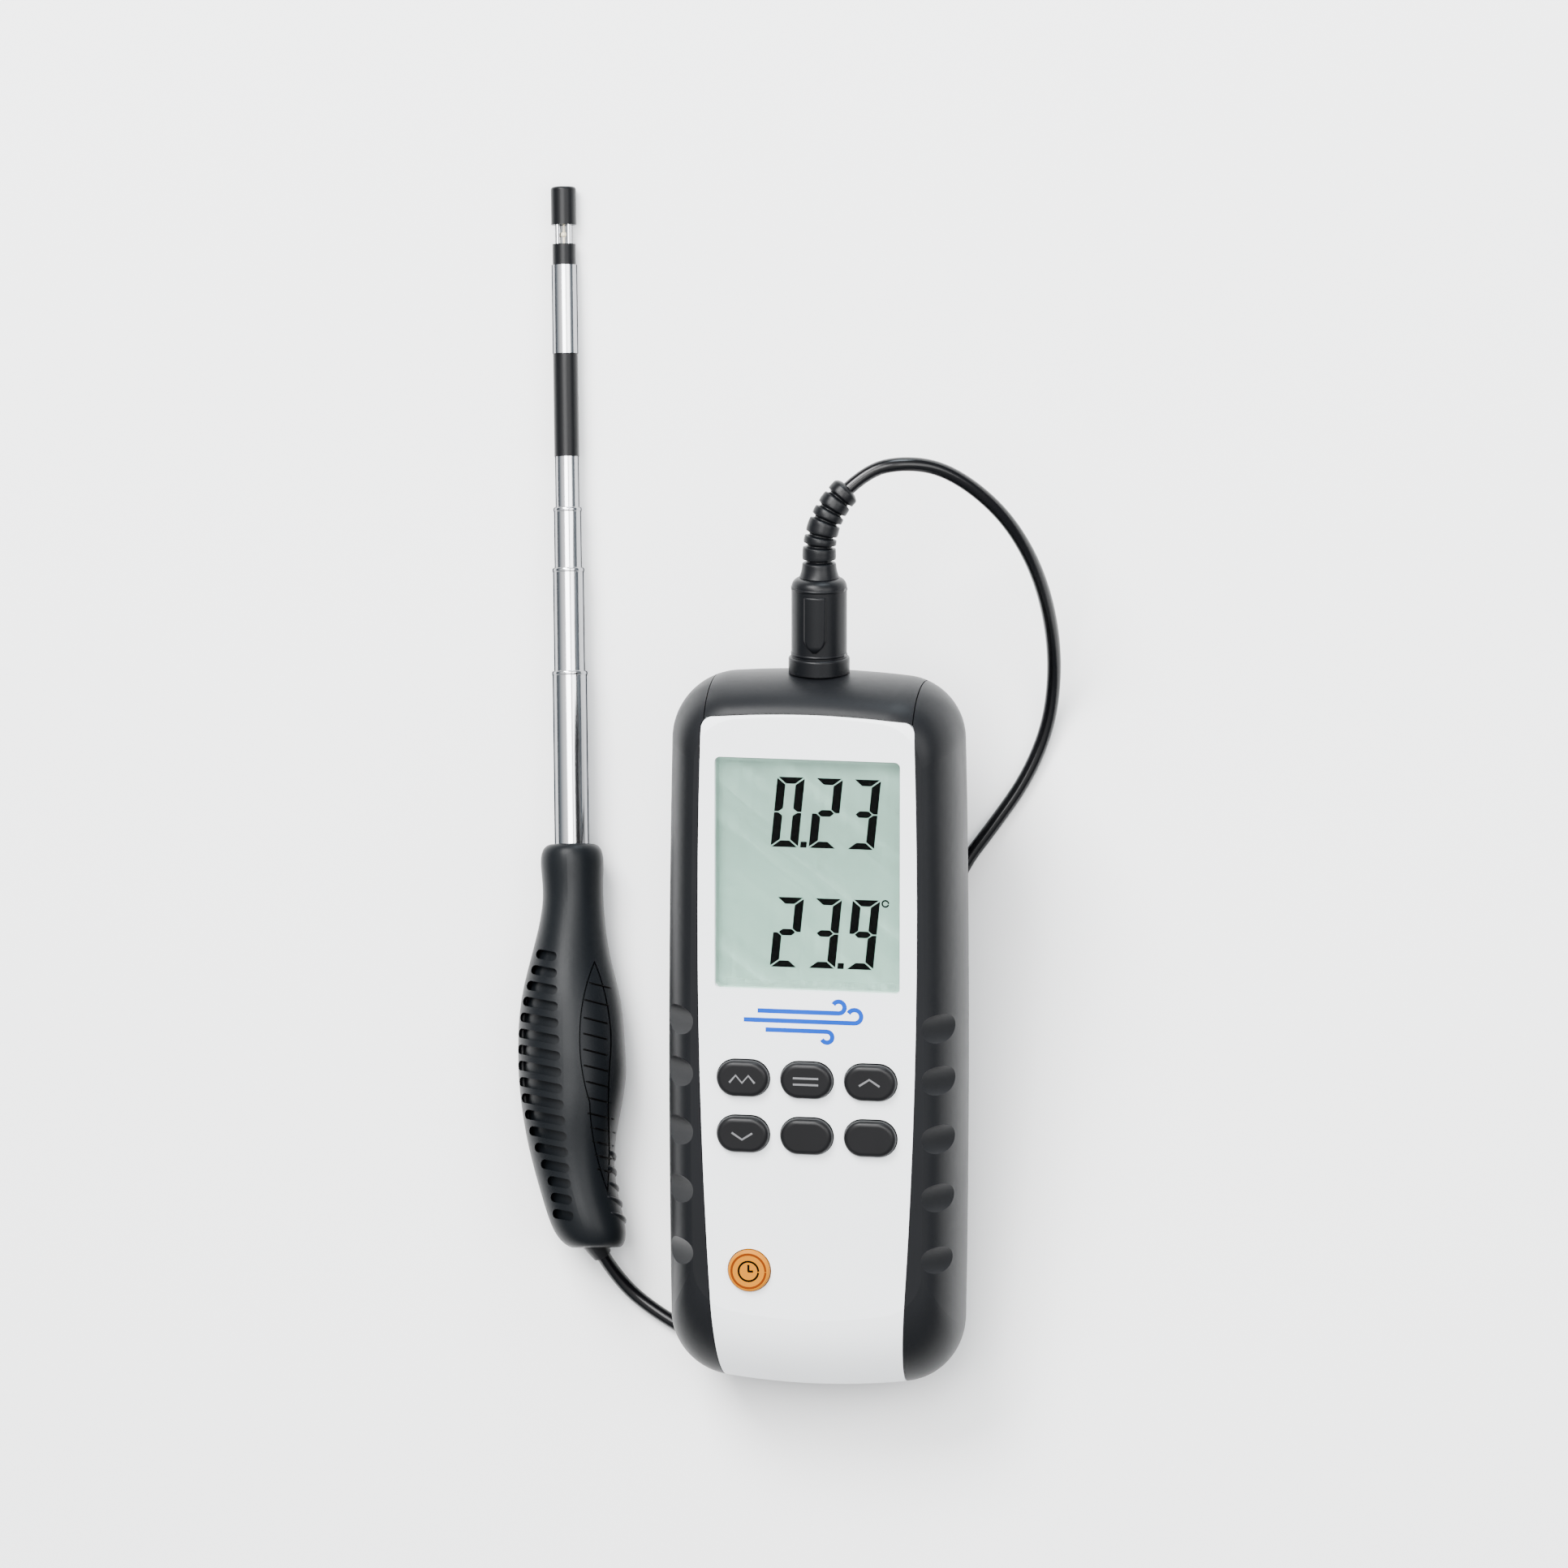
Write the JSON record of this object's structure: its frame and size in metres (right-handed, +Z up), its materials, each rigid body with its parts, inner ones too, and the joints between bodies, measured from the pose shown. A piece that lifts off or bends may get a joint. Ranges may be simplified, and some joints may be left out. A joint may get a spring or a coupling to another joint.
{
  "type": "hot-wire anemometer",
  "caption": "Handheld thermal anemometer: a meter with display and keys on a tilt stand, joined by a sensor cable to a telescopic probe with a sliding sensor guard.",
  "frame": {"origin": "on the table under the middle of the meter and probe together, the sensor cable not counted", "axes": "+Z up from the table, +Y from the meter's lower end towards its socket and the probe's tip, +X to the meter's right"},
  "size_m": [0.1359, 0.299, 0.0741],
  "materials": {
    "light_case": "satin moulded front, near white",
    "dark_case": "fine matt texture",
    "grip_rubber": "soft matt over-moulding",
    "key_rubber": "smooth matt silicone",
    "orange_key": "glossy",
    "clear_window": "clear, polished",
    "lcd_panel": "pale green reflective display",
    "green_board": "solder mask",
    "dark_plastic": "satin black",
    "steel_parts": "plain",
    "brass_parts": "plain",
    "battery_jacket": "printed jacket, unmarked",
    "plug_rubber": "satin black moulding",
    "cable_jacket": "smooth, slightly glossy jacket",
    "tie_strap": "woven hook-and-loop strap",
    "handle_rubber": "matt blue-black over-moulding",
    "polished_tube": "bright polished",
    "sensor_bead": "glass-coated bead"
  },
  "bodies": {
    "meter_and_handle": {"front_case": "light_case", "rear_case": "dark_case", "left_grip": "grip_rubber", "right_grip": "grip_rubber", "top_cap": "grip_rubber", "rubber_feet": "grip_rubber", "case_screws": "steel_parts", "battery": "battery_jacket", "battery_snap": "dark_plastic", "battery_door": "dark_case", "door_screw": "steel_parts", "stand_pin": "steel_parts", "lcd_window": "clear_window", "lcd_holder": "dark_plastic", "lcd_glass": "lcd_panel", "zebra_strips": "key_rubber", "main_board": "green_board", "board_chips": "dark_plastic", "key_domes": "steel_parts", "keypad_mat": "key_rubber", "socket": "dark_plastic", "socket_nut": "steel_parts", "plug_ring": "plug_rubber", "plug_body": "plug_rubber", "plug_pins": "brass_parts", "plug_boot": "plug_rubber", "upper_cable": "cable_jacket", "lower_cable": "cable_jacket", "cable_coil": "cable_jacket", "coil_tie": "tie_strap", "handle_gland": "plug_rubber", "grip_pad": "handle_rubber", "handle_grip": "handle_rubber", "left_handle_core": "dark_plastic", "right_handle_core": "dark_plastic", "tube_1": "polished_tube"},
    "upper_left_key": {"upper_left_key": "key_rubber"},
    "upper_middle_key": {"upper_middle_key": "key_rubber"},
    "upper_right_key": {"upper_right_key": "key_rubber"},
    "lower_left_key": {"lower_left_key": "key_rubber"},
    "lower_middle_key": {"lower_middle_key": "key_rubber"},
    "lower_right_key": {"lower_right_key": "key_rubber"},
    "power_key": {"power_key": "orange_key"},
    "stand": {"tilt_stand": "dark_plastic"},
    "section_2": {"tube_2": "polished_tube", "tube_bush_2": "brass_parts"},
    "section_3": {"tube_3": "polished_tube", "tube_bush_3": "brass_parts"},
    "section_4": {"tube_4": "polished_tube", "tube_bush_4": "brass_parts", "stem": "dark_plastic", "sensor_carrier": "dark_plastic", "sensor_posts": "polished_tube", "velocity_sensor": "sensor_bead", "tip_cap": "dark_plastic"},
    "sleeve": {"guard_sleeve": "polished_tube"}
  },
  "joints": [
    {"name": "upper_left_key_press", "type": "slide", "parent": "meter_and_handle", "child": "upper_left_key", "axis": [0, 0.2079, -0.9781], "range_m": [0, 0.001], "stiffness_N_per_m": 900},
    {"name": "upper_middle_key_press", "type": "slide", "parent": "meter_and_handle", "child": "upper_middle_key", "axis": [0, 0.2079, -0.9781], "range_m": [0, 0.001], "stiffness_N_per_m": 900},
    {"name": "upper_right_key_press", "type": "slide", "parent": "meter_and_handle", "child": "upper_right_key", "axis": [0, 0.2079, -0.9781], "range_m": [0, 0.001], "stiffness_N_per_m": 900},
    {"name": "lower_left_key_press", "type": "slide", "parent": "meter_and_handle", "child": "lower_left_key", "axis": [0, 0.2079, -0.9781], "range_m": [0, 0.001], "stiffness_N_per_m": 900},
    {"name": "lower_middle_key_press", "type": "slide", "parent": "meter_and_handle", "child": "lower_middle_key", "axis": [0, 0.2079, -0.9781], "range_m": [0, 0.001], "stiffness_N_per_m": 900},
    {"name": "lower_right_key_press", "type": "slide", "parent": "meter_and_handle", "child": "lower_right_key", "axis": [0, 0.2079, -0.9781], "range_m": [0, 0.001], "stiffness_N_per_m": 900},
    {"name": "power_key_press", "type": "slide", "parent": "meter_and_handle", "child": "power_key", "axis": [0, 0.2079, -0.9781], "range_m": [0, 0.001], "stiffness_N_per_m": 900},
    {"name": "stand_hinge", "type": "hinge", "parent": "meter_and_handle", "child": "stand", "pos_m": [0.02222, -0.01494, 0.03311], "axis": [-1, 0, 0], "range_deg": [0, 100]},
    {"name": "section_2_slide", "type": "slide", "parent": "meter_and_handle", "child": "section_2", "axis": [-0.0565, 0.9975, -0.0436], "range_m": [-0.024, 0.063]},
    {"name": "section_3_slide", "type": "slide", "parent": "section_2", "child": "section_3", "axis": [-0.0565, 0.9975, -0.0436], "range_m": [-0.014, 0.069]},
    {"name": "section_4_slide", "type": "slide", "parent": "section_3", "child": "section_4", "axis": [-0.0565, 0.9975, -0.0436], "range_m": [-0.012, 0.067]},
    {"name": "sleeve_slide", "type": "slide", "parent": "section_4", "child": "sleeve", "axis": [-0.0565, 0.9975, -0.0436], "range_m": [0, 0.01]}
  ]
}
